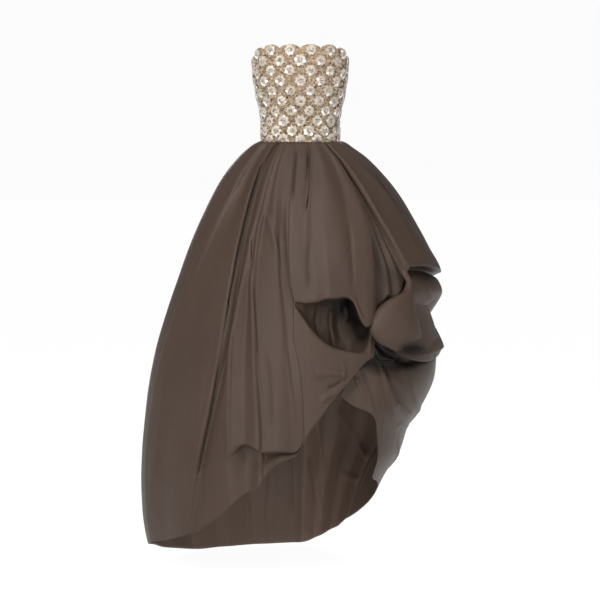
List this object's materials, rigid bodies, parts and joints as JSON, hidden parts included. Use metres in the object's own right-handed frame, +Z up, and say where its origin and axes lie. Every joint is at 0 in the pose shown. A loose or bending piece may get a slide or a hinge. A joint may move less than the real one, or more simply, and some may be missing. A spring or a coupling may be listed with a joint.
{
  "type": "high-low gown",
  "caption": "Strapless high-low ball gown, beaded bodice on a pleated full taffeta skirt caught up in puffs over one hip, filled out as worn.",
  "frame": {"origin": "centre of the waist seam, on the wearer's axis", "axes": "+Z up through the bodice, -Y out of the wearer's front, +X to the wearer's left"},
  "size_m": [0.9098, 0.9539, 1.5666],
  "materials": {
    "beaded_tulle": "nude net covered in pearl flowers and small metallic beads",
    "taffeta": "crisp dark taupe taffeta with a soft sheen",
    "zip_tape": "matt woven tape",
    "zip_metal": "antique brass, satin"
  },
  "bodies": {
    "gown": {"bodice_front": "beaded_tulle", "bodice_back_left": "beaded_tulle", "bodice_back_right": "beaded_tulle", "skirt_front_right": "taffeta", "skirt_front_left": "taffeta", "side_drape": "taffeta", "side_puff": "taffeta", "skirt_back_left": "taffeta", "skirt_back_right": "taffeta", "skirt_side_right": "taffeta", "zip_tape": "zip_tape", "zip_slider": "zip_metal"},
    "zip_pull": {"zip_pull": "zip_metal"}
  },
  "joints": [
    {"name": "zip_pull_hinge", "type": "hinge", "parent": "gown", "child": "zip_pull", "pos_m": [0, 0.1036, 0.2275], "axis": [1, 0, 0], "range_deg": [0, 150]}
  ]
}
